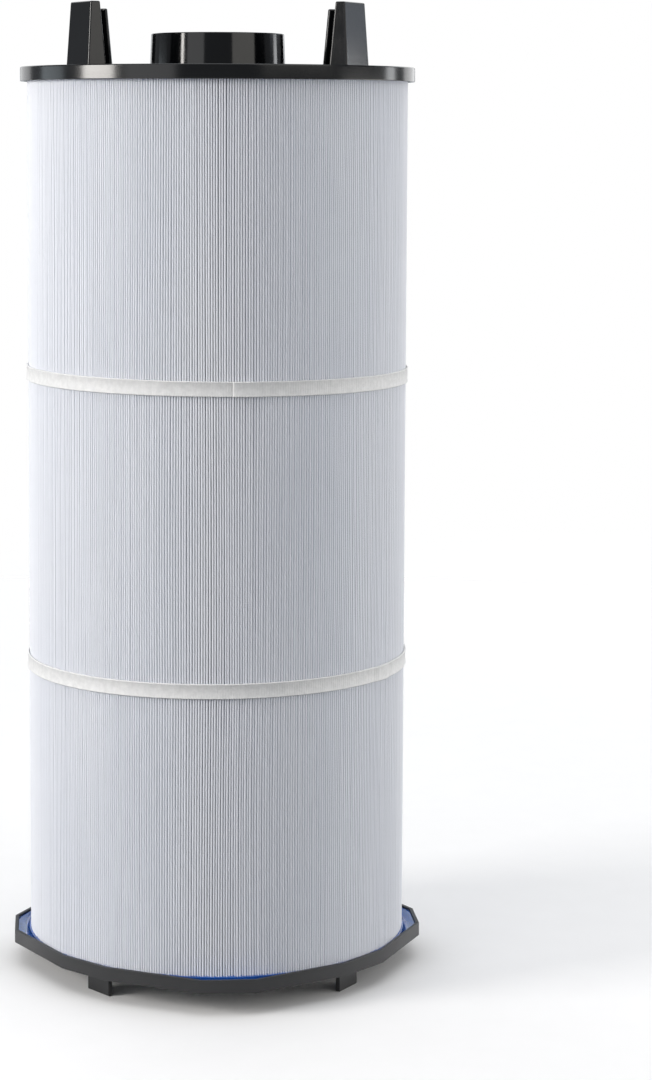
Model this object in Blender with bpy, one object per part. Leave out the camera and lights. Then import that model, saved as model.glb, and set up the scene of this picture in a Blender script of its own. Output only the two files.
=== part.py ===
"""Large pleated filter cartridge for a pool or spa filter.

The cartridge stands on its feet with its axis on Z, its origin at floor level on
the axis, and its front facing -Y. From the floor up it is a moulded base tray on
four feet, an outlet neck with its seal, a potting bed that holds the pleated media
and the slotted core, two straps around the media, and a moulded top plate that
carries a central hub and four hold-down posts.
"""

import math

import bmesh
import bpy
from mathutils import Matrix

# Every part keeps this gap to the parts that it touches.
GAP = 0.0003

# A cutting tool runs this far past the face that it opens, and a joined piece
# reaches this far into its body.
REACH = 0.0010

# Number of sides of the round parts, by size.
LARGE_SIDES = 64
MEDIUM_SIDES = 48
SMALL_SIDES = 24

# Edges that turn by more than this are shaded sharp, or get a bevel.
SHARP_ANGLE = math.radians(35)
BEVEL_ANGLE = math.radians(40)

# Heights above the floor.
TRAY_BOTTOM = 0.0180
TRAY_FLOOR = 0.0210
POTTING_LEVEL = 0.0268
TRAY_TOP = 0.0285
PLATE_BOTTOM = 0.7107
PLATE_TOP = 0.7219
HUB_TOP = 0.7486
POST_TOP = 0.7715

# Media and core.
MEDIA_RADIUS = 0.1520
PLEAT_DEPTH = 0.0320
MEDIA_BORE = MEDIA_RADIUS - PLEAT_DEPTH
POTTED_DEPTH = 0.0032
POTTING_CLEARANCE = 0.0004
CORE_RADIUS = 0.1194
CORE_WALL = 0.0030
CORE_SECTIONS = 3
CORE_SLOTS_AROUND = 12
CORE_SLOT_ROWS = 3
CORE_SLOT_SHARE = 0.62
COUPLER_WALL = 0.0024
COUPLER_LENGTH = 0.0180

# Base tray, a rounded square with cut corners that face front, back and sides.
TRAY_TURN = math.radians(3.3)
TRAY_CORNER = 0.1644
TRAY_SIDE = 0.1551
TRAY_SIDE_ANGLE = math.radians(27.7)
TRAY_RIM = 0.0026
POINTS_PER_EDGE = 4
DAM_RADIUS = 0.1055
DAM_WALL = 0.0030
DAM_LIP = 0.0010

# Top plate.
PLATE_RADIUS = 0.1571
PLATE_RIM = 0.0030
PLATE_WEB = 0.0040
PLATE_EDGE = 0.0012
PLATE_OPENING = 0.0423
TOP_POTTING_RECESS = 0.0015

# Central hub and the bush that takes the air-bleed tube.
HUB_RADIUS_TOP = 0.0529
HUB_RADIUS_BASE = 0.0539
HUB_WALL = 0.0040
HUB_DECK = 0.0030
HUB_EDGE = 0.0010
HUB_SPIGOT_WALL = 0.0040
HUB_SPIGOT_DEPTH = 0.0090
BLEED_BORE = 0.0150
BLEED_TUBE_BORE = 0.0050
BLEED_LIP = 0.0035
BLEED_LIP_HEIGHT = 0.0020
HUB_BORE_DRAFT = 0.0015

# Hold-down posts, drafted channels whose open side faces the hub.
POST_ANGLE = math.radians(29.7)
POST_RADIUS = 0.1253
POST_WIDTH_BASE = 0.0382
POST_WIDTH_TOP = 0.0352
POST_DEPTH_BASE = 0.0156
POST_DEPTH_TOP = 0.0081
POST_LEAN = 0.0032
POST_WALL = 0.0032
POST_EDGE = 0.0008
TENON_WIDTH = 0.0240
TENON_THICKNESS = 0.0020
TENON_DEPTH = 0.0025
TENON_INSET = 0.0008

# Straps around the media.
STRAP_WIDTH = 0.0117
STRAP_THICKNESS = 0.0009
STRAP_STATIONS = 72
STRAP_LAP = math.radians(6)
STRAP_RAMP = math.radians(10)
LOWER_STRAP_HEIGHT = 0.2488
UPPER_STRAP_HEIGHT = 0.4790
LOWER_STRAP_SEAM = math.radians(-28.5)
UPPER_STRAP_SEAM = math.radians(-85.6)
LOWER_STRAP_WINDING = 1
UPPER_STRAP_WINDING = -1
LOWER_STRAP_TILT = -0.0075
UPPER_STRAP_TILT = 0.0056

# Outlet neck and its seal.
OUTLET_OPENING = 0.0600
NECK_WALL = 0.0037
NECK_FLANGE_RADIUS = 0.0720
NECK_FLANGE_BOTTOM = 0.0120
NECK_TOP = 0.0350
SEAL_RADIUS = 0.0655
SEAL_SECTION = 0.0045
SEAL_BOTTOM = 0.0098
SEAL_SIDES = 8

# Feet.
FOOT_RADIUS = 0.1391
FOOT_FACING = math.radians(53.3)
FOOT_WIDTH = 0.0266
FOOT_THICKNESS = 0.0037
FOOT_EDGE = 0.0004
FOOT_TENON_WIDTH = 0.0120
FOOT_TENON_THICKNESS = 0.0018
FOOT_TENON_DEPTH = 0.0015


def clear_scene():
    for thing in list(bpy.data.objects):
        bpy.data.objects.remove(thing, do_unlink=True)


def make_material(name, colour, roughness, metallic=0.0):
    material = bpy.data.materials.new(name)
    material.use_nodes = True
    shader = material.node_tree.nodes["Principled BSDF"]
    shader.inputs["Base Color"].default_value = (*colour, 1.0)
    shader.inputs["Roughness"].default_value = roughness
    shader.inputs["Metallic"].default_value = metallic
    material.diffuse_color = (*colour, 1.0)
    return material


def make_object(name, bm, material, location=(0.0, 0.0, 0.0), turn=0.0):
    """Turn a bmesh into a named object with outward faces and smooth round sides."""
    bmesh.ops.recalc_face_normals(bm, faces=bm.faces)
    mesh = bpy.data.meshes.new(name)
    bm.to_mesh(mesh)
    bm.free()
    mesh.shade_smooth()
    mesh.set_sharp_from_angle(angle=SHARP_ANGLE)
    thing = bpy.data.objects.new(name, mesh)
    thing.data.materials.append(material)
    thing.location = location
    thing.rotation_euler = (0.0, 0.0, turn)
    bpy.context.collection.objects.link(thing)
    return thing


def ring_body(loops):
    """A closed ring through equal loops of points; the last loop joins the first."""
    bm = bmesh.new()
    rows = [[bm.verts.new(point) for point in loop] for loop in loops]
    for row, following in zip(rows, rows[1:] + rows[:1]):
        for i in range(len(row)):
            j = (i + 1) % len(row)
            bm.faces.new((row[i], row[j], following[j], following[i]))
    return bm


def circle(radius, height, sides):
    points = []
    for i in range(sides):
        angle = 2 * math.pi * i / sides
        points.append((radius * math.cos(angle), radius * math.sin(angle), height))
    return points


def turned(name, profile, sides, material, location=(0.0, 0.0, 0.0)):
    """A ring turned from a closed profile of (radius, height) points."""
    loops = [circle(radius, height, sides) for radius, height in profile]
    return make_object(name, ring_body(loops), material, location)


def tray_outline(inset, height):
    """The tray's sixteen-sided outline, drawn in by inset."""
    sides = []
    for quarter in range(4):
        corner = TRAY_TURN + quarter * math.pi / 2
        sides.append((corner, TRAY_CORNER - inset))
        sides.append((corner + TRAY_SIDE_ANGLE, TRAY_SIDE - inset))
        sides.append((corner + math.pi / 4, TRAY_SIDE - inset))
        sides.append((corner + math.pi / 2 - TRAY_SIDE_ANGLE, TRAY_SIDE - inset))
    corners = []
    for (angle_a, reach_a), (angle_b, reach_b) in zip(sides, sides[1:] + sides[:1]):
        turn = math.sin(angle_b - angle_a)
        x = (reach_a * math.sin(angle_b) - reach_b * math.sin(angle_a)) / turn
        y = (reach_b * math.cos(angle_a) - reach_a * math.cos(angle_b)) / turn
        corners.append((x, y))
    points = []
    for (xa, ya), (xb, yb) in zip(corners, corners[1:] + corners[:1]):
        for step in range(POINTS_PER_EDGE):
            part = step / POINTS_PER_EDGE
            points.append((xa + (xb - xa) * part, ya + (yb - ya) * part, height))
    return points


def circle_facing_tray(radius, height):
    """A circle with one point in line with each point of the tray's outline."""
    points = []
    for x, y, _ in tray_outline(0.0, height):
        reach = math.hypot(x, y)
        points.append((radius * x / reach, radius * y / reach, height))
    return points


def block(bm, low, high):
    """Add a box between two opposite corners."""
    size = [b - a for a, b in zip(low, high)]
    middle = [(a + b) / 2 for a, b in zip(low, high)]
    place = Matrix.Translation(middle) @ Matrix.Diagonal((*size, 1.0))
    bmesh.ops.create_cube(bm, size=1.0, matrix=place)


def frustum(bm, base, top):
    """Add a drafted block between two rectangles (x_low, x_high, half_width, z)."""
    rows = []
    for x_low, x_high, half, z in (base, top):
        corners = ((x_low, -half), (x_high, -half), (x_high, half), (x_low, half))
        rows.append([bm.verts.new((x, y, z)) for x, y in corners])
    lower, upper = rows
    bm.faces.new(lower[::-1])
    bm.faces.new(upper)
    for i in range(4):
        j = (i + 1) % 4
        bm.faces.new((lower[i], lower[j], upper[j], upper[i]))


def combine(thing, bm, name, operation, turn=0.0, location=(0.0, 0.0, 0.0)):
    """Cut a bmesh from an object, or join it on, through a hidden tool object."""
    bmesh.ops.recalc_face_normals(bm, faces=bm.faces)
    mesh = bpy.data.meshes.new(name)
    bm.to_mesh(mesh)
    bm.free()
    tool = bpy.data.objects.new(name, mesh)
    tool.location = location
    tool.rotation_euler = (0.0, 0.0, turn)
    tool.hide_render = True
    tool.display_type = "WIRE"
    bpy.context.collection.objects.link(tool)
    modifier = thing.modifiers.new(name, "BOOLEAN")
    modifier.operation = operation
    modifier.solver = "EXACT"
    modifier.object = tool


def round_edges(thing, width, segments=2):
    modifier = thing.modifiers.new("rounded_edges", "BEVEL")
    modifier.width = width
    modifier.segments = segments
    modifier.limit_method = "ANGLE"
    modifier.angle_limit = BEVEL_ANGLE


def base_tray(material):
    """Shallow tray with a rim, an outlet opening and a dam around the potting bed."""
    dam_top = POTTING_LEVEL + DAM_LIP
    loops = [
        circle_facing_tray(OUTLET_OPENING, TRAY_BOTTOM),
        tray_outline(0.0, TRAY_BOTTOM),
        tray_outline(0.0, TRAY_TOP),
        tray_outline(TRAY_RIM, TRAY_TOP),
        tray_outline(TRAY_RIM, TRAY_FLOOR),
        circle_facing_tray(DAM_RADIUS, TRAY_FLOOR),
        circle_facing_tray(DAM_RADIUS, dam_top),
        circle_facing_tray(DAM_RADIUS - DAM_WALL, dam_top),
        circle_facing_tray(DAM_RADIUS - DAM_WALL, TRAY_FLOOR),
        circle_facing_tray(OUTLET_OPENING, TRAY_FLOOR),
    ]
    tray = make_object("base_tray", ring_body(loops), material)
    for index, (location, facing) in enumerate(foot_places()):
        bm = bmesh.new()
        half = FOOT_TENON_WIDTH / 2 + GAP
        inner, outer = foot_tenon_reach()
        top = TRAY_BOTTOM + FOOT_TENON_DEPTH + GAP
        block(bm, (inner - GAP, -half, TRAY_BOTTOM - REACH), (outer + GAP, half, top))
        combine(tray, bm, f"foot_socket_{index + 1}", "DIFFERENCE", facing, location)
    return tray


def core_bore():
    """Smallest inner radius of the many-sided core."""
    return (CORE_RADIUS - CORE_WALL) * math.cos(math.pi / (CORE_SLOTS_AROUND * 2))


def base_potting(material):
    """Cast bed that fills the tray and grips the lower ends of media and core."""
    bed_bottom = TRAY_FLOOR + GAP
    loops = [
        circle_facing_tray(DAM_RADIUS + GAP, bed_bottom),
        tray_outline(TRAY_RIM + GAP, bed_bottom),
        tray_outline(TRAY_RIM + GAP, POTTING_LEVEL),
        circle_facing_tray(DAM_RADIUS + GAP, POTTING_LEVEL),
    ]
    bed = make_object("base_potting", ring_body(loops), material)
    floor = POTTING_LEVEL - POTTED_DEPTH - GAP
    inner = core_bore() - GAP
    outer = MEDIA_RADIUS + POTTING_CLEARANCE
    profile = [(inner, floor), (outer, floor), (outer, TRAY_TOP), (inner, TRAY_TOP)]
    groove = ring_body([circle(radius, height, LARGE_SIDES) for radius, height in profile])
    combine(bed, groove, "potting_groove", "DIFFERENCE")
    return bed


def media_ends():
    """Heights of the lower and upper ends of the media and the core."""
    low = POTTING_LEVEL - POTTED_DEPTH
    high = PLATE_BOTTOM + TOP_POTTING_RECESS + POTTED_DEPTH
    return low, high


def pleated_media(material):
    """Outer envelope of the pleat pack, one closed tube."""
    low, high = media_ends()
    radius = MEDIA_RADIUS - GAP
    profile = [(MEDIA_BORE, low), (radius, low), (radius, high), (MEDIA_BORE, high)]
    return turned("pleated_media", profile, LARGE_SIDES, material)


def top_potting(material):
    """Cast ring under the top plate that grips the upper ends of media and core."""
    low = PLATE_BOTTOM + TOP_POTTING_RECESS
    high = PLATE_TOP - PLATE_WEB - GAP
    groove = low + POTTED_DEPTH + GAP
    outer = PLATE_RADIUS - PLATE_RIM - GAP
    inner = DAM_RADIUS + GAP
    profile = [
        (inner, low),
        (core_bore() - GAP, low),
        (core_bore() - GAP, groove),
        (MEDIA_RADIUS + GAP, groove),
        (MEDIA_RADIUS + GAP, low),
        (outer, low),
        (outer, high),
        (inner, high),
    ]
    return turned("top_potting", profile, LARGE_SIDES, material)


def top_plate(material):
    """Moulded disc with a down-turned rim, a potting dam and four post sockets."""
    web = PLATE_TOP - PLATE_WEB
    dam_bottom = PLATE_BOTTOM + TOP_POTTING_RECESS / 2
    profile = [
        (PLATE_OPENING, web),
        (DAM_RADIUS - DAM_WALL, web),
        (DAM_RADIUS - DAM_WALL, dam_bottom),
        (DAM_RADIUS, dam_bottom),
        (DAM_RADIUS, web),
        (PLATE_RADIUS - PLATE_RIM, web),
        (PLATE_RADIUS - PLATE_RIM, PLATE_BOTTOM),
        (PLATE_RADIUS, PLATE_BOTTOM),
        (PLATE_RADIUS, PLATE_TOP - PLATE_EDGE),
        (PLATE_RADIUS - PLATE_EDGE, PLATE_TOP),
        (PLATE_OPENING, PLATE_TOP),
    ]
    plate = turned("top_plate", profile, LARGE_SIDES, material)
    for index, angle in enumerate(post_angles()):
        bm = bmesh.new()
        inner, outer, half = tenon_box()
        floor = PLATE_TOP - TENON_DEPTH - GAP
        top = PLATE_TOP + REACH
        block(bm, (inner - GAP, -half - GAP, floor), (outer + GAP, half + GAP, top))
        combine(plate, bm, f"post_socket_{index + 1}", "DIFFERENCE", angle)
    return plate


def hub_collar(material):
    """Round cup on the plate; its deck holds the bleed bush, its spigot fits the opening."""
    base = PLATE_TOP + GAP
    deck = base + HUB_DECK
    spigot = PLATE_OPENING - GAP
    spigot_bottom = PLATE_TOP - HUB_SPIGOT_DEPTH
    profile = [
        (BLEED_BORE, base),
        (spigot - HUB_SPIGOT_WALL, base),
        (spigot - HUB_SPIGOT_WALL, spigot_bottom),
        (spigot, spigot_bottom),
        (spigot, base),
        (HUB_RADIUS_BASE, base),
        (HUB_RADIUS_TOP, HUB_TOP - HUB_EDGE),
        (HUB_RADIUS_TOP - HUB_EDGE, HUB_TOP),
        (HUB_RADIUS_TOP - HUB_WALL, HUB_TOP),
        (HUB_RADIUS_BASE - HUB_WALL - HUB_BORE_DRAFT, deck),
        (BLEED_BORE, deck),
    ]
    return turned("hub_collar", profile, MEDIUM_SIDES, material)


def bleed_bush(material):
    """Flexible bush with lips above and below the hub's deck."""
    low = PLATE_TOP + GAP
    high = low + HUB_DECK
    neck = BLEED_BORE - GAP
    lip = BLEED_BORE + BLEED_LIP
    profile = [
        (BLEED_TUBE_BORE, low - GAP - BLEED_LIP_HEIGHT),
        (lip, low - GAP - BLEED_LIP_HEIGHT),
        (lip, low - GAP),
        (neck, low - GAP),
        (neck, high + GAP),
        (lip, high + GAP),
        (lip, high + GAP + BLEED_LIP_HEIGHT),
        (BLEED_TUBE_BORE, high + GAP + BLEED_LIP_HEIGHT),
    ]
    return turned("bleed_bush", profile, SMALL_SIDES, material)


def post_angles():
    return (
        POST_ANGLE,
        math.pi - POST_ANGLE,
        math.pi + POST_ANGLE,
        -POST_ANGLE,
    )


def tenon_box():
    """Inner reach, outer reach and half width of a post's tenon."""
    outer = POST_RADIUS - TENON_INSET
    return outer - TENON_THICKNESS, outer, TENON_WIDTH / 2


def hold_down_post(index, angle, material):
    """Drafted channel with a tenon; its outer wall is closed, its inner side open."""
    base = PLATE_TOP + GAP
    outer_base = POST_RADIUS
    outer_top = POST_RADIUS - POST_LEAN
    bm = bmesh.new()
    frustum(
        bm,
        (outer_base - POST_DEPTH_BASE, outer_base, POST_WIDTH_BASE / 2, base),
        (outer_top - POST_DEPTH_TOP, outer_top, POST_WIDTH_TOP / 2, POST_TOP),
    )
    post = make_object(f"hold_down_post_{index + 1}", bm, material, turn=angle)
    channel = bmesh.new()
    frustum(
        channel,
        (
            outer_base - POST_DEPTH_BASE - REACH,
            outer_base - POST_WALL,
            POST_WIDTH_BASE / 2 - POST_WALL,
            base + POST_WALL,
        ),
        (
            outer_top - POST_DEPTH_BASE,
            outer_top - POST_WALL,
            POST_WIDTH_TOP / 2 - POST_WALL,
            POST_TOP + REACH,
        ),
    )
    combine(post, channel, f"post_channel_{index + 1}", "DIFFERENCE", angle)
    round_edges(post, POST_EDGE)
    inner, outer, half = tenon_box()
    tenon = bmesh.new()
    block(tenon, (inner, -half, PLATE_TOP - TENON_DEPTH), (outer, half, base + REACH))
    combine(post, tenon, f"post_tenon_{index + 1}", "UNION", angle)
    return post


def strap(name, height, seam, winding, tilt, material):
    """Flat strap wound once around the media, its end lapped over its start.

    The seam is where the outer end shows. Winding is 1 for a strap that runs round
    counterclockwise, seen from above, and -1 for one that runs clockwise.
    """
    inner = MEDIA_RADIUS + GAP
    lift = STRAP_THICKNESS + GAP
    sweep = 2 * math.pi + STRAP_LAP
    half = STRAP_WIDTH / 2
    bm = bmesh.new()
    rows = []
    for i in range(STRAP_STATIONS + 1):
        angle = sweep * i / STRAP_STATIONS
        climb = (angle - (sweep - STRAP_LAP - STRAP_RAMP)) / STRAP_RAMP
        radius = inner + lift * min(1.0, max(0.0, climb))
        section = (
            (radius, -half),
            (radius + STRAP_THICKNESS, -half),
            (radius + STRAP_THICKNESS, half),
            (radius, half),
        )
        around = seam + winding * (angle - sweep)
        direction = (math.cos(around), math.sin(around))
        rows.append([bm.verts.new((r * direction[0], r * direction[1], z)) for r, z in section])
    for row, following in zip(rows, rows[1:]):
        for i in range(4):
            j = (i + 1) % 4
            bm.faces.new((row[i], row[j], following[j], following[i]))
    bm.faces.new(rows[0])
    bm.faces.new(rows[-1])
    band = make_object(name, bm, material, location=(0.0, 0.0, height))
    band.rotation_euler = (0.0, tilt, 0.0)
    return band


def core_section(name, low, high, material):
    """Length of slotted tube, built as a lattice of ribs and hoops."""
    columns = CORE_SLOTS_AROUND * 2
    pitch = (high - low) / CORE_SLOT_ROWS
    slot = pitch * CORE_SLOT_SHARE
    levels = [low]
    for row in range(CORE_SLOT_ROWS):
        middle = low + pitch * (row + 0.5)
        levels += [middle - slot / 2, middle + slot / 2]
    levels.append(high)
    bm = bmesh.new()
    skins = []
    for radius in (CORE_RADIUS, CORE_RADIUS - CORE_WALL):
        skins.append([[bm.verts.new(p) for p in circle(radius, z, columns)] for z in levels])
    outer, inner = skins
    for k in range(len(levels) - 1):
        for i in range(columns):
            j = (i + 1) % columns
            outer_face = (outer[k][i], outer[k][j], outer[k + 1][j], outer[k + 1][i])
            inner_face = (inner[k][i], inner[k][j], inner[k + 1][j], inner[k + 1][i])
            if k % 2 == 1 and i % 2 == 0:
                for n in range(4):
                    m = (n + 1) % 4
                    bm.faces.new((outer_face[n], outer_face[m], inner_face[m], inner_face[n]))
            else:
                bm.faces.new(outer_face)
                bm.faces.new(inner_face)
    for k in (0, len(levels) - 1):
        for i in range(columns):
            j = (i + 1) % columns
            bm.faces.new((outer[k][i], outer[k][j], inner[k][j], inner[k][i]))
    return make_object(name, bm, material)


def core(material):
    """Slotted sections stacked end to end, with a coupler inside each joint."""
    low, high = media_ends()
    length = (high - low) / CORE_SECTIONS
    names = ("core_lower", "core_middle", "core_upper")
    for index, name in enumerate(names):
        start = low + index * length + (GAP / 2 if index else 0.0)
        end = low + (index + 1) * length - (GAP / 2 if index < CORE_SECTIONS - 1 else 0.0)
        core_section(name, start, end, material)
    outer = core_bore() - GAP
    inner = outer - COUPLER_WALL
    for index, name in enumerate(("core_coupler_lower", "core_coupler_upper")):
        joint = low + (index + 1) * length
        bottom = joint - COUPLER_LENGTH / 2
        top = joint + COUPLER_LENGTH / 2
        profile = [(inner, bottom), (outer, bottom), (outer, top), (inner, top)]
        turned(name, profile, CORE_SLOTS_AROUND * 2, material)


def outlet_neck(material):
    """Flanged neck that passes up through the tray; its flange carries the seal."""
    flange_top = TRAY_BOTTOM - GAP
    outer = OUTLET_OPENING - GAP
    inner = outer - NECK_WALL
    seat_inner = SEAL_RADIUS - SEAL_SECTION / 2 - GAP
    seat_outer = SEAL_RADIUS + SEAL_SECTION / 2 + GAP
    seat_top = SEAL_BOTTOM + SEAL_SECTION + GAP
    profile = [
        (inner, NECK_FLANGE_BOTTOM),
        (seat_inner, NECK_FLANGE_BOTTOM),
        (seat_inner, seat_top),
        (seat_outer, seat_top),
        (seat_outer, NECK_FLANGE_BOTTOM),
        (NECK_FLANGE_RADIUS, NECK_FLANGE_BOTTOM),
        (NECK_FLANGE_RADIUS, flange_top),
        (outer, flange_top),
        (outer, NECK_TOP),
        (inner, NECK_TOP),
    ]
    return turned("outlet_neck", profile, MEDIUM_SIDES, material)


def outlet_seal(material):
    """Sealing ring of round section, seated in the neck's groove."""
    half = SEAL_SECTION / 2
    profile = []
    for i in range(SEAL_SIDES):
        angle = 2 * math.pi * (i + 0.5) / SEAL_SIDES
        profile.append((SEAL_RADIUS + half * math.cos(angle), half * math.sin(angle)))
    middle = SEAL_BOTTOM + half * math.cos(math.pi / SEAL_SIDES)
    return turned("outlet_seal", profile, MEDIUM_SIDES, material, (0.0, 0.0, middle))


def foot_places():
    """Middle of each foot's outer face, and the direction that the face looks in.

    Feet 1 and 2 are the rear pair and 3 and 4 the front pair. Each pair is a mirror
    image about the tray's own front-to-back line.
    """
    places = []
    for quarter in range(4):
        angle = TRAY_TURN + math.pi / 4 + quarter * math.pi / 2
        location = (FOOT_RADIUS * math.cos(angle), FOOT_RADIUS * math.sin(angle), 0.0)
        middle = math.pi / 2 if quarter < 2 else -math.pi / 2
        side = 1 if quarter % 2 else -1
        places.append((location, TRAY_TURN + middle + side * FOOT_FACING))
    return places


def foot_tenon_reach():
    """Inner and outer reach of a foot's tenon, in the middle of its thickness."""
    middle = -FOOT_THICKNESS / 2
    return middle - FOOT_TENON_THICKNESS / 2, middle + FOOT_TENON_THICKNESS / 2


def foot(index, location, facing, material):
    """Slab foot with a tenon in the underside of the tray."""
    top = TRAY_BOTTOM - GAP
    half = FOOT_WIDTH / 2
    bm = bmesh.new()
    block(bm, (-FOOT_THICKNESS, -half, 0.0), (0.0, half, top))
    thing = make_object(f"foot_{index + 1}", bm, material, location, facing)
    round_edges(thing, FOOT_EDGE, segments=1)
    inner, outer = foot_tenon_reach()
    tenon_half = FOOT_TENON_WIDTH / 2
    tenon = bmesh.new()
    block(
        tenon,
        (inner, -tenon_half, top - REACH),
        (outer, tenon_half, TRAY_BOTTOM + FOOT_TENON_DEPTH),
    )
    combine(thing, tenon, f"foot_tenon_{index + 1}", "UNION", facing, location)
    return thing


def build():
    clear_scene()
    gloss_black = make_material("gloss_black_plastic", (0.012, 0.014, 0.017), 0.18)
    satin_charcoal = make_material("satin_charcoal_plastic", (0.035, 0.036, 0.038), 0.45)
    media_white = make_material("white_pleated_media", (0.80, 0.81, 0.86), 0.85)
    strap_white = make_material("off_white_strap", (0.74, 0.74, 0.74), 0.60)
    potting_blue = make_material("blue_potting", (0.02, 0.10, 0.42), 0.15)
    core_grey = make_material("core_plastic", (0.55, 0.56, 0.57), 0.50)
    rubber = make_material("black_rubber", (0.010, 0.010, 0.010), 0.70)

    base_tray(satin_charcoal)
    base_potting(potting_blue)
    pleated_media(media_white)
    strap(
        "lower_band",
        LOWER_STRAP_HEIGHT,
        LOWER_STRAP_SEAM,
        LOWER_STRAP_WINDING,
        LOWER_STRAP_TILT,
        strap_white,
    )
    strap(
        "upper_band",
        UPPER_STRAP_HEIGHT,
        UPPER_STRAP_SEAM,
        UPPER_STRAP_WINDING,
        UPPER_STRAP_TILT,
        strap_white,
    )
    core(core_grey)
    outlet_neck(satin_charcoal)
    outlet_seal(rubber)
    for index, (location, facing) in enumerate(foot_places()):
        foot(index, location, facing, satin_charcoal)
    top_potting(potting_blue)
    top_plate(gloss_black)
    hub_collar(gloss_black)
    bleed_bush(rubber)
    for index, angle in enumerate(post_angles()):
        hold_down_post(index, angle, gloss_black)
    bpy.context.view_layer.update()


build()
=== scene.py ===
import math
import bmesh
import bpy
import numpy as np
from mathutils import Matrix, Vector


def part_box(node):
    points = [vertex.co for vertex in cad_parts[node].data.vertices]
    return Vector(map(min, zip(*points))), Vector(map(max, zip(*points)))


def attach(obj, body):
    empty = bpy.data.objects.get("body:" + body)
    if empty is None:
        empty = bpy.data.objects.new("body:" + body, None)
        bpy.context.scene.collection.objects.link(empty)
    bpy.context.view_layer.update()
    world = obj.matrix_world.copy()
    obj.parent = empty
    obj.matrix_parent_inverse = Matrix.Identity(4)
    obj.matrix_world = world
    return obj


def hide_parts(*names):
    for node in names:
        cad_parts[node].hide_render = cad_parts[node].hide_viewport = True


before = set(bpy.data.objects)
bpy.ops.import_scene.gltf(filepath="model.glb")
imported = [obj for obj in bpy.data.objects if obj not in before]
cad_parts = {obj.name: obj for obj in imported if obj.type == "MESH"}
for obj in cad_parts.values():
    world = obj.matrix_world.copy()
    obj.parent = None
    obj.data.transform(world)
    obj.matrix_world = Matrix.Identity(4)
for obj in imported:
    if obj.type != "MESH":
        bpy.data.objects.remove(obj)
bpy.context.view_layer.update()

# Looks for a large pleated filter cartridge: folded media under two straps, glossy
# plate, hub and posts on top, and a footed tray of blue potting below. Lengths are in
# metres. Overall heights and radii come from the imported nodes; the sizes of walls,
# edges, straps and posts are named here.

TAU = 2 * math.pi
ROOT = "root"
FRONT = -math.pi / 2

# Pleat pack. Shares are of one pleat's pitch; stray and bow are in pleats.
PLEATS = 469
PLEAT_DEPTH = 0.0313
TIP_SHARE = 0.76
TIP_POINTS = 5
SWELL_SHARE = 0.84
SWELL_DEPTH = 0.0034
FOOT_SHARE = 0.48
FOOT_POINTS = 3
OWN_STRAY = 0.055
GROUP_STRAY = 0.26
GROUP_WIDTH = 7
GROUP_REACH = 3 * GROUP_WIDTH
BOW_SHARE = 0.6
TIP_RECESS = 0.00030
LEVELS_PER_SPAN = 9
PACK_CLEARANCE = 0.00012
PLEAT_SHARP = math.radians(80)

# Straps.
STRAP_WIDTH = 0.0117
STRAP_BODY = 0.00075
STRAP_EDGE = 0.00110
STRAP_BEAD = 0.0011
# The bead along each edge: how high its outer side is, as a share of STRAP_EDGE, then
# where its top starts and ends and where it meets the body, in beads from the edge.
STRAP_LIP = 0.6
BEAD_RISE = 0.35
BEAD_FALL = 0.75
BEAD_END = 1.3
STRAP_SHARP = math.radians(50)
STRAP_STATIONS = 1960
STRAP_LAP = math.radians(6)
STRAP_RAMP = math.radians(2.2)
STRAP_SCALLOP = 0.00007
STRAP_UNEVEN = 0.00005
STRAP_STEP = 0.0001
# The outer end is cut on a slant this many stations long; the second value keeps the
# very end from closing to nothing.
STRAP_SLANT = 2.5
STRAP_CUT = 0.3
# Each strap's seam, the way it is wound (1 is counterclockwise) and its tilt.
LOWER_STRAP = (math.radians(-28.5), 1, -0.0075)
UPPER_STRAP = (math.radians(-85.6), -1, 0.0056)

# Mouldings.
ROUND_SIDES = 192
HUB_SIDES = 96
FILLET_STEPS = 4
PLATE_RIM = 0.0030
PLATE_WEB = 0.0040
PLATE_OPENING = 0.0423
PLATE_FILLET = 0.0011
PLATE_LIP_FILLET = 0.0006
DAM_OUTER = 0.1055
DAM_WALL = 0.0030
DAM_CLEARANCE = 0.00075
HUB_WALL = 0.0040
HUB_DRAFT = 0.0010
HUB_BORE_DRAFT = 0.0015
HUB_DECK = 0.0030
HUB_BORE = 0.0150
HUB_SPIGOT = 0.0420
HUB_SPIGOT_WALL = 0.0040
HUB_FILLET = 0.0009
HUB_FLOOR_FILLET = 0.0012
SMALL_FILLET = 0.0004
JOINT_GAP = 0.0003
EDGE_ANGLE = math.radians(40)
EDGE_STEPS = 3
SHARP_ANGLE = math.radians(35)
# The weighted normals' setting that gives large faces the most say.
LARGE_FACES_FIRST = 100
# A fillet may take up this share of the straight beside its corner.
FILLET_REACH = 0.45
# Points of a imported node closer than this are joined, and faces that meet at less
# than this angle are one flat face.
JOIN_DISTANCE = 1e-6
FLAT_ANGLE = math.radians(1.0)

# Hold-down posts; a pair gives the size at the base and at the top.
POST_ANGLE = math.radians(29.7)
POST_RADIUS = (0.1253, 0.1221)
POST_WIDTH = (0.0382, 0.0352)
POST_DEPTH = (0.0156, 0.0081)
POST_WALL = 0.0032
POST_EDGE = 0.0012
POST_EDGE_STEPS = 5

# Potting that has crept up the foot of the pleats.
CREEP_REACH = 0.0009
CREEP_INSIDE = 0.0012
CREEP_TIP = 0.0005
CREEP_GAP = 0.0015
CREEP_STEPS = 4
# The factor by which one gap's resin varies in height, then the middle of the resin's
# slope, as shares of its height and of its reach.
CREEP_VARIATION = (0.6, 1.25)
CREEP_WAIST = 0.45
CREEP_WAIST_REACH = 0.25

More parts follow.
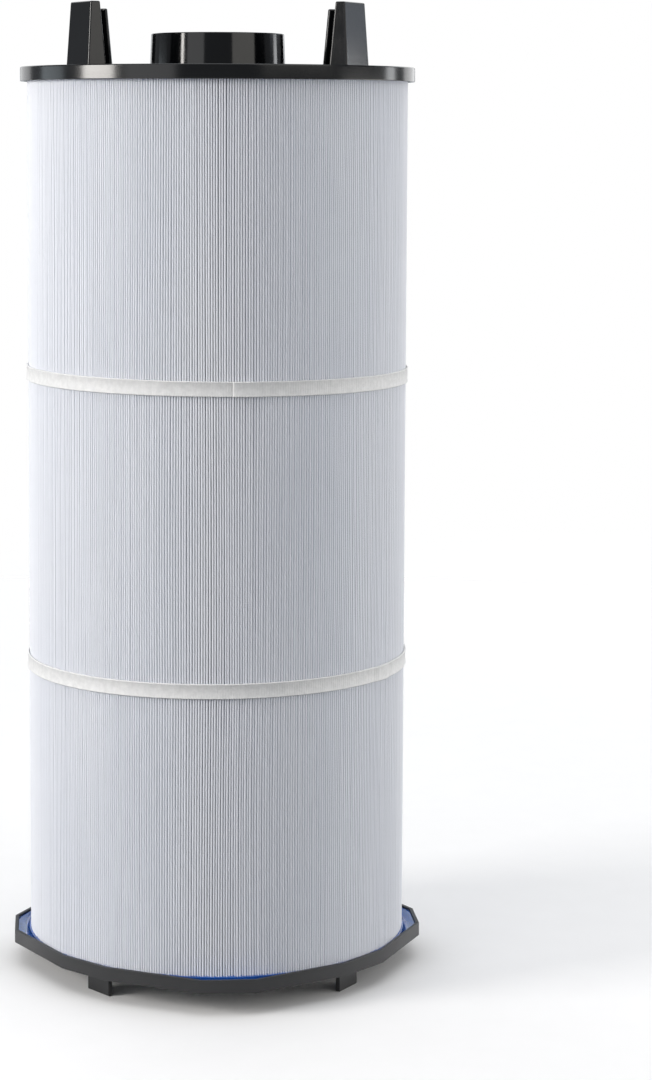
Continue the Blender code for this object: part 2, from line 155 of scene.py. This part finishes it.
# Camera, solved from the outlines of the round parts.
CAMERA_AT = (0.0, -2.21448, 0.67654)
CAMERA_PITCH = math.radians(5.2027)
CAMERA_YAW = math.radians(0.6145)
CAMERA_ROLL = math.radians(0.1362)
CAMERA_LENS = 92.057
CAMERA_SHIFT = (0.07337, -0.15141)
SENSOR_WIDTH = 36.0
CAMERA_NEAR = 0.05
CAMERA_FAR = 60.0

# Stage.
STAGE_REACH = 4.0
FLOOR_DROP = 0.0002
FADE_START = 0.55
FADE_END = 2.6

# Soft lights round the object: name, azimuth and width in degrees (azimuth 0 is the
# front, positive to the right), lowest and highest point, power and colour.
LIGHT_DISTANCE = 2.6
LIGHT_AIM = 0.60
LIGHTS = (
    ("key", -70.5, 22, 0.60, 1.60, 51.0, (1.0, 0.97, 0.93)),
    ("left_fill", -38, 30, 0.0, 2.2, 10.5, (1.0, 1.0, 1.0)),
    ("left_side", -108, 22, 0.0, 0.88, 4.0, (0.84, 0.94, 1.0)),
    ("left_rear", -150, 30, 0.0, 2.2, 9.5, (1.0, 1.0, 1.0)),
    ("right_fill", 46, 46, 0.8, 2.4, 15.0, (1.0, 0.97, 0.91)),
    ("right_low", 92, 36, 0.1, 0.6, 27.0, (1.0, 0.98, 0.95)),
    ("right_side", 116, 10, 0.3, 0.95, 3.4, (0.96, 0.98, 1.0)),
    ("right_high", 117, 30, 0.95, 1.50, 1.7, (0.80, 0.88, 1.0)),
    ("right_rear", 149, 30, 0.0, 2.2, 13.5, (1.0, 1.0, 1.0)),
    ("back", 180, 27, 0.0, 2.2, 3.8, (0.85, 0.94, 1.0)),
    ("front_low", 0, 34, 0.1, 0.5, 1.5, (1.0, 0.99, 0.97)),
)
OVERHEAD_STRENGTH = 1.25
OVERHEAD_SPREAD = math.radians(70)
ROOM_COLOUR = (0.90, 0.94, 1.0)
ROOM_STRENGTH = 0.20

SEED = 20
rng = np.random.default_rng(SEED)


# ---------------------------------------------------------------- node helpers

class Shade:
    """Short way to add nodes to one material."""

    def __init__(self, name):
        self.material = bpy.data.materials.new(name)
        self.material.use_nodes = True
        self.tree = self.material.node_tree
        self.shader = self.tree.nodes["Principled BSDF"]

    def add(self, kind, **settings):
        node = self.tree.nodes.new(kind)
        for key, value in settings.items():
            setattr(node, key, value)
        return node

    def link(self, source, target):
        self.tree.links.new(source, target)

    def place(self):
        return self.add("ShaderNodeTexCoord").outputs["Object"]

    def stretched(self, scale):
        mapping = self.add("ShaderNodeMapping")
        mapping.inputs["Scale"].default_value = scale
        self.link(self.place(), mapping.inputs["Vector"])
        return mapping.outputs["Vector"]

    def noise(self, vector, scale, detail=4.0, rough=0.5):
        node = self.add("ShaderNodeTexNoise")
        node.inputs["Scale"].default_value = scale
        node.inputs["Detail"].default_value = detail
        node.inputs["Roughness"].default_value = rough
        self.link(vector, node.inputs["Vector"])
        return node.outputs["Fac"]

    def ramp(self, value, stops):
        node = self.add("ShaderNodeValToRGB")
        elements = node.color_ramp.elements
        while len(elements) < len(stops):
            elements.new(0.5)
        for element, (at, colour) in zip(elements, stops):
            element.position = at
            element.color = (*colour, 1.0)
        self.link(value, node.inputs["Fac"])
        return node.outputs["Color"]

    def spread(self, value, low, high):
        node = self.add("ShaderNodeMapRange")
        node.inputs["To Min"].default_value = low
        node.inputs["To Max"].default_value = high
        self.link(value, node.inputs["Value"])
        return node.outputs["Result"]

    def bump(self, height, distance, strength, normal=None):
        node = self.add("ShaderNodeBump")
        node.inputs["Distance"].default_value = distance
        node.inputs["Strength"].default_value = strength
        self.link(height, node.inputs["Height"])
        if normal is not None:
            self.link(normal, node.inputs["Normal"])
        return node.outputs["Normal"]

    def set(self, **values):
        for key, value in values.items():
            self.shader.inputs[key.replace("_", " ")].default_value = value


def moulded(name, dark, light, rough, grain, pull, gloss):
    """Moulded plastic: a soft colour drift, varied roughness and a fine surface."""
    s = Shade(name)
    drift = s.noise(s.place(), scale=9.0, detail=3.0)
    s.link(s.ramp(drift, [(0.3, dark), (0.7, light)]), s.shader.inputs["Base Color"])
    wear = s.noise(s.place(), scale=55.0, detail=5.0, rough=0.6)
    s.link(s.spread(wear, *rough), s.shader.inputs["Roughness"])
    fine = s.noise(s.place(), scale=grain, detail=3.0)
    wave = s.noise(s.stretched((1.0, 1.0, 0.35)), scale=26.0, detail=1.0)
    soft = s.bump(wave, distance=pull, strength=0.35)
    surface = s.bump(fine, distance=0.00004, strength=0.25, normal=soft)
    s.link(surface, s.shader.inputs["Normal"])
    s.set(Specular_IOR_Level=gloss, IOR=1.52)
    return s.material


def media_material():
    """White nonwoven: fine fibre and a faint cloudiness."""
    s = Shade("white_pleated_media")
    cloud = s.noise(s.stretched((1.0, 1.0, 0.25)), scale=14.0, detail=3.0)
    tint = s.ramp(cloud, [(0.25, (0.815, 0.840, 0.905)), (0.75, (0.860, 0.880, 0.932))])
    s.link(tint, s.shader.inputs["Base Color"])
    fibre = s.noise(s.stretched((1.0, 1.0, 0.4)), scale=1500.0, detail=3.0, rough=0.6)
    s.link(s.spread(fibre, low=0.78, high=0.95), s.shader.inputs["Roughness"])
    nap = s.bump(fibre, distance=0.00005, strength=0.35)
    s.link(nap, s.shader.inputs["Normal"])
    s.set(Specular_IOR_Level=0.25, Sheen_Weight=0.12, Sheen_Roughness=0.5)
    return s.material


def strap_material():
    """Off-white strap of bonded yarn that runs round the pack."""
    s = Shade("off_white_strap")
    around = s.noise(s.stretched((0.35, 0.35, 2.4)), scale=900.0, detail=2.0)
    cloud = s.noise(s.place(), scale=230.0, detail=4.0, rough=0.6)
    tint = s.ramp(cloud, [(0.3, (0.730, 0.735, 0.740)), (0.7, (0.850, 0.853, 0.857))])
    s.link(tint, s.shader.inputs["Base Color"])
    s.link(s.spread(around, low=0.50, high=0.72), s.shader.inputs["Roughness"])
    lumps = s.bump(cloud, distance=0.0006, strength=0.5)
    yarn = s.bump(around, distance=0.00014, strength=0.6, normal=lumps)
    s.link(yarn, s.shader.inputs["Normal"])
    s.set(Specular_IOR_Level=0.35, Sheen_Weight=0.10)
    return s.material


def potting_material():
    """Cast blue resin: glossy, with a slow self-levelled swell and tiny bubbles."""
    s = Shade("blue_potting")
    cloud = s.noise(s.place(), scale=22.0, detail=3.0)
    tint = s.ramp(cloud, [(0.3, (0.008, 0.055, 0.25)), (0.7, (0.013, 0.085, 0.35))])
    s.link(tint, s.shader.inputs["Base Color"])
    wear = s.noise(s.place(), scale=70.0)
    s.link(s.spread(wear, low=0.03, high=0.10), s.shader.inputs["Roughness"])
    slow = s.noise(s.place(), scale=30.0, detail=1.0)
    swell = s.bump(slow, distance=0.0003, strength=0.3)
    bubbles = s.noise(s.place(), scale=900.0, detail=2.0)
    surface = s.bump(bubbles, distance=0.00003, strength=0.12, normal=swell)
    s.link(surface, s.shader.inputs["Normal"])
    s.set(Specular_IOR_Level=0.6, Coat_Weight=0.5, Coat_Roughness=0.06)
    return s.material


def rubber_material():
    """Matt black rubber with a dusty bloom."""
    s = Shade("black_rubber")
    bloom = s.noise(s.place(), scale=120.0, detail=5.0, rough=0.65)
    tint = s.ramp(bloom, [(0.3, (0.008, 0.008, 0.008)), (0.8, (0.026, 0.026, 0.027))])
    s.link(tint, s.shader.inputs["Base Color"])
    s.link(s.spread(bloom, low=0.60, high=0.85), s.shader.inputs["Roughness"])
    pores = s.bump(s.noise(s.place(), scale=2200.0), distance=0.00005, strength=0.4)
    s.link(pores, s.shader.inputs["Normal"])
    s.set(Specular_IOR_Level=0.3)
    return s.material


# ------------------------------------------------------------------ mesh helpers

def finish_piece(piece, material, nodes):
    """Give a piece its material and its body, and hide the nodes that it stands in for."""
    piece.data.materials.clear()
    piece.data.materials.append(material)
    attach(piece, ROOT)
    if nodes:
        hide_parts(*nodes)
    return piece


def object_from(name, vertices, faces, smooth_below=SHARP_ANGLE):
    mesh = bpy.data.meshes.new(name)
    mesh.from_pydata(vertices, [], faces)
    mesh.update()
    mesh.shade_smooth()
    mesh.set_sharp_from_angle(angle=smooth_below)
    piece = bpy.data.objects.new(name, mesh)
    bpy.context.scene.collection.objects.link(piece)
    return piece


def filleted(profile, radii):
    """A closed (radius, height) profile with each corner rounded by its own radius."""
    points = []
    count = len(profile)
    for i, (corner, radius) in enumerate(zip(profile, radii)):
        here = Vector(corner)
        before = Vector(profile[i - 1]) - here
        after = Vector(profile[(i + 1) % count]) - here
        if radius <= 0.0:
            points.append(tuple(here))
            continue
        half = before.angle(after) / 2
        room = min(before.length, after.length) * FILLET_REACH
        back = min(radius / math.tan(half), room)
        start = here + before.normalized() * back
        end = here + after.normalized() * back
        for step in range(FILLET_STEPS + 1):
            t = step / FILLET_STEPS
            points.append(tuple(start * (1 - t) ** 2 + here * 2 * t * (1 - t) + end * t * t))
    return points


def wound_faces(rings, size, closed=True):
    """Quads between neighbouring rings of size points; closed joins the ends too."""
    faces = []
    for i in range(rings if closed else rings - 1):
        a = i * size
        b = (i + 1) % rings * size
        for k in range(size):
            m = (k + 1) % size
            faces.append((a + k, b + k, b + m, a + m))
    return faces


def turned(name, profile, sides=ROUND_SIDES):
    """A ring turned from a closed profile, facing out."""
    vertices = []
    for i in range(sides):
        angle = TAU * i / sides
        vertices += [(r * math.cos(angle), r * math.sin(angle), z) for r, z in profile]
    piece = object_from(name, vertices, wound_faces(sides, len(profile)))
    face_outward(piece)
    keep_faces_flat(piece)
    return piece


def keep_faces_flat(piece):
    """Flat faces shade evenly, without a gradient from the fillets beside them."""
    weighted = piece.modifiers.new("flat_faces", "WEIGHTED_NORMAL")
    weighted.mode = "FACE_AREA"
    weighted.weight = LARGE_FACES_FIRST
    weighted.keep_sharp = True


def face_outward(piece):
    """Turn every face of a closed piece outward."""
    bm = bmesh.new()
    bm.from_mesh(piece.data)
    bmesh.ops.recalc_face_normals(bm, faces=bm.faces)
    bm.to_mesh(piece.data)
    bm.free()


def refined_copy(node, name, edge):
    """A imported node's own solid with joined points, flat faces and rounded edges."""
    bm = bmesh.new()
    bm.from_mesh(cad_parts[node].data)
    bmesh.ops.remove_doubles(bm, verts=bm.verts, dist=JOIN_DISTANCE)
    bmesh.ops.dissolve_limit(bm, angle_limit=FLAT_ANGLE, verts=bm.verts, edges=bm.edges)
    bmesh.ops.recalc_face_normals(bm, faces=bm.faces)
    mesh = bpy.data.meshes.new(name)
    bm.to_mesh(mesh)
    bm.free()
    mesh.shade_smooth()
    mesh.set_sharp_from_angle(angle=SHARP_ANGLE)
    piece = bpy.data.objects.new(name, mesh)
    bpy.context.scene.collection.objects.link(piece)
    if edge > 0.0:
        round_edges(piece, edge, EDGE_STEPS)
    return piece


def round_edges(piece, width, segments):
    """Round every edge sharper than EDGE_ANGLE."""
    bevel = piece.modifiers.new("rounded_edges", "BEVEL")
    bevel.width = width
    bevel.segments = segments
    bevel.limit_method = "ANGLE"
    bevel.angle_limit = EDGE_ANGLE
    bevel.harden_normals = True


# ------------------------------------------------------------------ pleat pack

def held_heights():
    """The heights where potting or a strap holds the pleats."""
    low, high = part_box("pleated_media")
    heights = [low.z]
    for band in ("lower_band", "upper_band"):
        bottom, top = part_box(band)
        heights.append((bottom.z + top.z) / 2)
    heights.append(high.z)
    return heights


def pack_levels(heights):
    """Heights of the pack's rows, closer together beside each held height."""
    levels = []
    for bottom, top in zip(heights, heights[1:]):
        for step in range(LEVELS_PER_SPAN):
            share = (1 - math.cos(math.pi * step / LEVELS_PER_SPAN)) / 2
            levels.append(bottom + (top - bottom) * share)
    levels.append(heights[-1])
    return np.array(levels)


def rounded_drift(rows):
    """Random drift that neighbouring pleats share, of unit spread round the pack."""
    reach = np.arange(-GROUP_REACH, GROUP_REACH + 1)
    weights = np.exp(-0.5 * (reach / GROUP_WIDTH) ** 2)
    drift = []
    for _ in range(rows):
        raw = rng.normal(0.0, 1.0, PLEATS)
        ring = np.concatenate([raw[reach[0]:], raw, raw[:reach[-1]]])
        blurred = np.convolve(ring, weights, "valid")
        drift.append((blurred - blurred.mean()) / blurred.std())
    return np.array(drift)


def wander(heights, levels):
    """How far each pleat's tip strays round the pack at each level, in pleats."""
    holds = len(heights)
    own = rng.uniform(-OWN_STRAY, OWN_STRAY, (2 * holds - 1, PLEATS))
    group = rounded_drift(2 * holds - 1) * GROUP_STRAY
    stray = own + group
    rows = []
    for z in levels:
        span, share = place_in_span(heights, z)
        base = stray[span] * (1 - share) + stray[span + 1] * share
        bow = stray[holds + span] * BOW_SHARE * math.sin(math.pi * share)
        rows.append(base + bow)
    return np.array(rows)


def recesses(heights, levels):
    """How far each pleat's tip lies inside the pack's outer radius at each level."""
    held = rng.uniform(0.0, TIP_RECESS, (len(heights), PLEATS))
    rows = []
    for z in levels:
        span, share = place_in_span(heights, z)
        rows.append(held[span] * (1 - share) + held[span + 1] * share)
    return np.array(rows)


def place_in_span(heights, z):
    """The span between two held heights that z is in, and how far up it z is."""
    span = min(int(np.searchsorted(heights, z, side="right")) - 1, len(heights) - 2)
    return span, (z - heights[span]) / (heights[span + 1] - heights[span])


def pleat_section(outer, inner):
    """One pleat's line: (place across in pleats, depth, share of stray) per point."""
    tip = TAU * outer / PLEATS * TIP_SHARE / 2
    foot = TAU * inner / PLEATS * FOOT_SHARE / 2
    points = [(-SWELL_SHARE / 2, SWELL_DEPTH, 1.0)]
    for step in range(TIP_POINTS):
        turn = math.pi * (step + 0.5) / TIP_POINTS
        across = -math.cos(turn) * TIP_SHARE / 2
        points.append((across, tip * (1 - math.sin(turn)), 1.0))
    points.append((SWELL_SHARE / 2, SWELL_DEPTH, 1.0))
    for step in range(FOOT_POINTS):
        turn = math.pi * (step + 0.5) / FOOT_POINTS
        across = 0.5 - math.cos(turn) * FOOT_SHARE / 2
        points.append((across, PLEAT_DEPTH - foot * (1 - math.sin(turn)), 0.0))
    return points


def pleated_pack():
    """The pleat pack: one sheet of media, folded to and fro all the way round."""
    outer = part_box("pleated_media")[1].x - PACK_CLEARANCE
    heights = held_heights()
    levels = pack_levels(heights)
    stray = wander(heights, levels)
    recess = recesses(heights, levels)
    section = pleat_section(outer, outer - PLEAT_DEPTH)
    row_size = PLEATS * len(section)
    vertices = []
    for level, z in enumerate(levels):
        for pleat in range(PLEATS):
            for across, depth, follow in section:
                radius = outer - depth - recess[level, pleat] * follow
                place = pleat + across + stray[level, pleat] * follow
                angle = FRONT + TAU * place / PLEATS
                vertices.append((radius * math.cos(angle), radius * math.sin(angle), z))
    faces = []
    for level in range(len(levels) - 1):
        a = level * row_size
        b = a + row_size
        for k in range(row_size):
            m = (k + 1) % row_size
            faces.append((a + k, a + m, b + m, b + k))
    piece = object_from("media_pleats", vertices, faces, PLEAT_SHARP)
    finish_piece(piece, media_material(), ["pleated_media"])
    return piece


# ------------------------------------------------------------------------ straps

def strap_section():
    """Outline of the strap: flat back, slightly raised edge beads."""
    half = STRAP_WIDTH / 2
    lower = [
        (0.0, -half),
        (STRAP_EDGE * STRAP_LIP, -half),
        (STRAP_EDGE, -half + STRAP_BEAD * BEAD_RISE),
        (STRAP_EDGE, -half + STRAP_BEAD * BEAD_FALL),
        (STRAP_BODY, -half + STRAP_BEAD * BEAD_END),
    ]
    upper = [(out, -rise) for out, rise in reversed(lower)]
    return lower + [(STRAP_BODY, 0.0)] + upper


def strap_piece(name, node, facts):
    """A strap wound once round the pack, its end lapped over its start."""
    seam, winding, tilt = facts
    low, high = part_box(node)
    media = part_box("pleated_media")[1].x
    inner = media + JOINT_GAP
    middle = (low.z + high.z) / 2
    sweep = TAU + STRAP_LAP
    section = strap_section()
    uneven = rounded_drift(1)[0] * STRAP_UNEVEN
    vertices = []
    for i in range(STRAP_STATIONS + 1):
        angle = sweep * i / STRAP_STATIONS
        climb = (angle - (sweep - STRAP_LAP - STRAP_RAMP)) / STRAP_RAMP
        lift = (STRAP_EDGE + STRAP_STEP) * min(1.0, max(0.0, climb))
        around = seam + winding * (angle - sweep)
        pleat = (around - FRONT) / TAU * PLEATS
        ripple = STRAP_SCALLOP * math.cos(TAU * pleat) + abs(uneven[int(pleat) % PLEATS])
        base = inner + lift + ripple
        c, s = math.cos(around), math.sin(around)
        whole = min(1.0, (STRAP_STATIONS - i + STRAP_CUT) / STRAP_SLANT)
        for out, rise in section:
            r = base + out * whole
            z = middle + rise - r * c * math.sin(tilt)
            vertices.append((r * c * math.cos(tilt), r * s, z))
    count = len(section)
    faces = wound_faces(STRAP_STATIONS + 1, count, closed=False)
    faces.append(tuple(range(count)))
    last = STRAP_STATIONS * count
    faces.append(tuple(last + k for k in reversed(range(count))))
    piece = object_from(name, vertices, faces, STRAP_SHARP)
    face_outward(piece)
    return piece


def straps():
    """Both straps, of one material."""
    white = strap_material()
    for name, node, facts in (
        ("strap_lower", "lower_band", LOWER_STRAP),
        ("strap_upper", "upper_band", UPPER_STRAP),
    ):
        band = strap_piece(name, node, facts)
        finish_piece(band, white, [node])


# -------------------------------------------------------------------- mouldings

def plate_piece():
    """Top plate with a down-turned rim, rounded at its edges."""
    low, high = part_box("top_plate")
    web = high.z - PLATE_WEB
    radius = high.x
    profile = [
        (PLATE_OPENING, web),
        (DAM_OUTER - DAM_WALL, web),
        (DAM_OUTER - DAM_WALL, low.z + DAM_CLEARANCE),
        (DAM_OUTER, low.z + DAM_CLEARANCE),
        (DAM_OUTER, web),
        (radius - PLATE_RIM, web),
        (radius - PLATE_RIM, low.z),
        (radius, low.z),
        (radius, high.z),
        (PLATE_OPENING, high.z),
    ]
    small = SMALL_FILLET
    lip = PLATE_LIP_FILLET
    radii = [0.0, 0.0, small, small, 0.0, 0.0, small, lip, PLATE_FILLET, 0.0]
    return turned("plate", filleted(profile, radii))


def hub_piece():
    """Round cup on the plate: drafted wall, rounded lip, deck and spigot."""
    low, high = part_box("hub_collar")
    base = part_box("top_plate")[1].z + JOINT_GAP
    deck = base + HUB_DECK
    foot = high.x
    top = foot - HUB_DRAFT
    profile = [
        (HUB_BORE, base),
        (HUB_SPIGOT - HUB_SPIGOT_WALL, base),
        (HUB_SPIGOT - HUB_SPIGOT_WALL, low.z),
        (HUB_SPIGOT, low.z),
        (HUB_SPIGOT, base),
        (foot, base),
        (top, high.z),
        (top - HUB_WALL, high.z),
        (foot - HUB_WALL - HUB_BORE_DRAFT, deck),
        (HUB_BORE, deck),
    ]
    small = SMALL_FILLET
    edge = HUB_FILLET
    radii = [0.0, 0.0, small, small, 0.0, small, edge, edge, HUB_FLOOR_FILLET, small]
    return turned("hub", filleted(profile, radii), HUB_SIDES)


def post_piece(index):
    """A drafted channel: outer wall closed, the side that faces the hub open."""
    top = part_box(f"hold_down_post_{index}")[1].z
    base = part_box("top_plate")[1].z
    floor = POST_WALL / (top - base)

    def corners(share):
        outer, width, depth = (
            pair[0] + (pair[1] - pair[0]) * share
            for pair in (POST_RADIUS, POST_WIDTH, POST_DEPTH)
        )
        z = base + (top - base) * share
        return outer, outer - depth, width / 2, z

    points = []
    for share in (0.0, 1.0):
        outer, front, half, z = corners(share)
        points += [(outer, -half, z), (outer, half, z), (front, half, z), (front, -half, z)]
    for share in (floor, 1.0):
        outer, front, half, z = corners(share)
        back = outer - POST_WALL
        side = half - POST_WALL
        points += [(back, -side, z), (back, side, z), (front, side, z), (front, -side, z)]
    faces = [
        (0, 1, 5, 4),
        (1, 2, 6, 5),
        (3, 0, 4, 7),
        (0, 3, 2, 1),
        (4, 5, 6, 14, 13, 12, 15, 7),
        (2, 3, 7, 15, 11, 10, 14, 6),
        (11, 15, 12, 8),
        (9, 13, 14, 10),
        (8, 12, 13, 9),
        (8, 9, 10, 11),
    ]
    turn = (POST_ANGLE, math.pi - POST_ANGLE, math.pi + POST_ANGLE, -POST_ANGLE)[index - 1]
    c, s = math.cos(turn), math.sin(turn)
    placed = [(x * c - y * s, x * s + y * c, z) for x, y, z in points]
    piece = object_from(f"post_{index}", placed, faces)
    face_outward(piece)
    round_edges(piece, POST_EDGE, POST_EDGE_STEPS)
    return piece


def creep_piece():
    """Blue resin drawn up the foot of the pleats, higher in the gaps than on the tips."""
    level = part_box("base_potting")[1].z
    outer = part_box("pleated_media")[1].x
    stations = PLEATS * CREEP_STEPS
    extra = rng.uniform(*CREEP_VARIATION, PLEATS)
    vertices = []
    for i in range(stations):
        pleat = i / CREEP_STEPS
        gap = (1 - math.cos(TAU * pleat)) / 2
        height = (CREEP_TIP + (CREEP_GAP - CREEP_TIP) * gap) * extra[int(pleat)]
        angle = FRONT + TAU * pleat / PLEATS
        section = (
            (outer - CREEP_INSIDE, level - JOINT_GAP),
            (outer + CREEP_REACH, level - JOINT_GAP),
            (outer + CREEP_REACH, level + JOINT_GAP / 2),
            (outer + CREEP_REACH * CREEP_WAIST_REACH, level + height * CREEP_WAIST),
            (outer - CREEP_INSIDE, level + height),
        )
        for radius, z in section:
            vertices.append((radius * math.cos(angle), radius * math.sin(angle), z))
    faces = wound_faces(stations, len(section))
    piece = object_from("potting_creep", vertices, faces)
    face_outward(piece)
    return piece


def gloss_plastic():
    """Glossy black of the hub and posts."""
    return moulded(
        name="gloss_black_plastic",
        dark=(0.0030, 0.0034, 0.0042),
        light=(0.0046, 0.0051, 0.0062),
        rough=(0.07, 0.14),
        grain=1400.0,
        pull=0.00018,
        gloss=0.50,
    )


def plate_plastic():
    """Black of the plate, a little duller than the hub and posts."""
    return moulded(
        name="half_gloss_black_plastic",
        dark=(0.0034, 0.0038, 0.0046),
        light=(0.0050, 0.0055, 0.0066),
        rough=(0.13, 0.19),
        grain=1400.0,
        pull=0.00012,
        gloss=0.50,
    )


def tray_plastic():
    """Satin charcoal of the tray, feet and neck."""
    return moulded(
        name="satin_charcoal_plastic",
        dark=(0.010, 0.0105, 0.0120),
        light=(0.016, 0.0165, 0.0185),
        rough=(0.36, 0.50),
        grain=2200.0,
        pull=0.00020,
        gloss=0.50,
    )


def core_plastic():
    """Pale grey of the core and its couplers."""
    return moulded(
        name="core_plastic",
        dark=(0.50, 0.51, 0.53),
        light=(0.60, 0.61, 0.63),
        rough=(0.42, 0.60),
        grain=1800.0,
        pull=0.00020,
        gloss=0.45,
    )


def copied(node, name, material, edge=0.0):
    """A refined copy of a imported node, finished and standing in for it."""
    return finish_piece(refined_copy(node, name, edge), material, [node])


def posts_and_feet(gloss, satin):
    """Each post and the foot of the same number."""
    for index in range(1, 5):
        post = post_piece(index)
        finish_piece(post, gloss, [f"hold_down_post_{index}"])
        copied(f"foot_{index}", f"tray_foot_{index}", satin)


def potting_pieces(potting):
    """The blue resin at both ends."""
    copied("base_potting", "potting_bed", potting)
    finish_piece(creep_piece(), potting, [])
    copied("top_potting", "potting_ring", potting)


def core_pieces(core):
    """The three lengths of core and their two couplers."""
    for node in (
        "core_lower",
        "core_middle",
        "core_upper",
        "core_coupler_lower",
        "core_coupler_upper",
    ):
        copied(node, node + "_tube", core)


def mouldings():
    """Every piece but the media and the straps."""
    gloss = gloss_plastic()
    sheen = plate_plastic()
    satin = tray_plastic()
    core = core_plastic()
    rubber = rubber_material()
    potting = potting_material()
    finish_piece(plate_piece(), sheen, ["top_plate"])
    finish_piece(hub_piece(), gloss, ["hub_collar"])
    posts_and_feet(gloss, satin)
    copied("base_tray", "tray", satin, SMALL_FILLET)
    potting_pieces(potting)
    copied("outlet_neck", "neck", satin)
    copied("outlet_seal", "seal_ring", rubber)
    copied("bleed_bush", "bush", rubber)
    core_pieces(core)


# ------------------------------------------------------------------------- stage

def floor_material():
    """Pale floor that fades into the background away from the object."""
    s = Shade("stage_floor")
    s.set(Roughness=0.9, Specular_IOR_Level=0.1)
    mottle = s.noise(s.place(), scale=30.0, detail=2.0)
    pale = s.ramp(mottle, [(0.0, (0.92, 0.92, 0.925)), (1.0, (0.94, 0.94, 0.945))])
    s.link(pale, s.shader.inputs["Base Color"])
    away = s.add("ShaderNodeVectorMath", operation="LENGTH")
    s.link(s.place(), away.inputs[0])
    fade = s.add("ShaderNodeMapRange", interpolation_type="SMOOTHSTEP")
    fade.inputs["From Min"].default_value = FADE_START
    fade.inputs["From Max"].default_value = FADE_END
    s.link(away.outputs["Value"], fade.inputs["Value"])
    clear = s.add("ShaderNodeBsdfTransparent")
    blend = s.add("ShaderNodeMixShader")
    s.link(fade.outputs["Result"], blend.inputs[0])
    s.link(s.shader.outputs[0], blend.inputs[1])
    s.link(clear.outputs[0], blend.inputs[2])
    s.link(blend.outputs[0], s.tree.nodes["Material Output"].inputs["Surface"])
    return s.material


def stage():
    """Plain pale floor, wide enough to meet the pale background."""
    reach = STAGE_REACH
    corners = [
        (x, y, -FLOOR_DROP)
        for x, y in ((-reach, -reach), (reach, -reach), (reach, reach), (-reach, reach))
    ]
    floor = object_from("stage_floor", corners, [(0, 1, 2, 3)])
    floor.data.materials.append(floor_material())
    floor.visible_diffuse = False


def soft_light(name, azimuth, width, low, high, power, colour):
    """A soft rectangle of light beside the object, facing a point on its axis."""
    data = bpy.data.lights.new(name, "AREA")
    data.shape = "RECTANGLE"
    data.size = 2 * LIGHT_DISTANCE * math.tan(math.radians(width / 2))
    data.size_y = high - low
    data.energy = power
    data.color = colour
    lamp = bpy.data.objects.new(name, data)
    turn = math.radians(azimuth)
    x, y = LIGHT_DISTANCE * math.sin(turn), -LIGHT_DISTANCE * math.cos(turn)
    lamp.location = (x, y, (low + high) / 2)
    aim = Vector((0.0, 0.0, LIGHT_AIM)) - lamp.location
    lamp.rotation_euler = aim.to_track_quat("-Z", "Y").to_euler()
    lamp.visible_camera = False
    bpy.context.scene.collection.objects.link(lamp)


def overhead_light():
    """A very soft sun from straight above."""
    data = bpy.data.lights.new("overhead", "SUN")
    data.energy = OVERHEAD_STRENGTH
    data.angle = OVERHEAD_SPREAD
    lamp = bpy.data.objects.new("overhead", data)
    bpy.context.scene.collection.objects.link(lamp)


def surroundings():
    """A dim room for the object, which the camera sees as plain white."""
    world = bpy.data.worlds.new("studio")
    world.use_nodes = True
    tree = world.node_tree
    room = tree.nodes["Background"]
    room.inputs["Color"].default_value = (*ROOM_COLOUR, 1.0)
    room.inputs["Strength"].default_value = ROOM_STRENGTH
    backdrop = tree.nodes.new("ShaderNodeBackground")
    backdrop.inputs["Color"].default_value = (1.0, 1.0, 1.0, 1.0)
    rays = tree.nodes.new("ShaderNodeLightPath")
    choice = tree.nodes.new("ShaderNodeMixShader")
    tree.links.new(rays.outputs["Is Camera Ray"], choice.inputs[0])
    tree.links.new(room.outputs[0], choice.inputs[1])
    tree.links.new(backdrop.outputs[0], choice.inputs[2])
    tree.links.new(choice.outputs[0], tree.nodes["World Output"].inputs["Surface"])
    bpy.context.scene.world = world


def lights():
    """All soft lights, the sun and the room."""
    for facts in LIGHTS:
        soft_light(*facts)
    overhead_light()
    surroundings()


def camera():
    """The camera that sees the object as the photo does."""
    data = bpy.data.cameras.new("camera")
    data.lens = CAMERA_LENS
    data.sensor_width = SENSOR_WIDTH
    data.shift_x, data.shift_y = CAMERA_SHIFT
    data.clip_start = CAMERA_NEAR
    data.clip_end = CAMERA_FAR
    eye = bpy.data.objects.new("camera", data)
    eye.location = CAMERA_AT
    pitch, yaw = CAMERA_PITCH, CAMERA_YAW
    look = Vector((
        math.sin(yaw) * math.cos(pitch),
        math.cos(yaw) * math.cos(pitch),
        -math.sin(pitch),
    ))
    level = Vector((math.cos(yaw), -math.sin(yaw), 0.0))
    rise = level.cross(look)
    right = level * math.cos(CAMERA_ROLL) + rise * math.sin(CAMERA_ROLL)
    up = rise * math.cos(CAMERA_ROLL) - level * math.sin(CAMERA_ROLL)
    turn = Matrix([right, up, -look]).transposed()
    eye.rotation_mode = "QUATERNION"
    eye.rotation_quaternion = turn.to_quaternion()
    bpy.context.scene.collection.objects.link(eye)
    bpy.context.scene.camera = eye
    bpy.context.scene.view_settings.view_transform = "Standard"


camera()
lights()
stage()
pleated_pack()
straps()
mouldings()
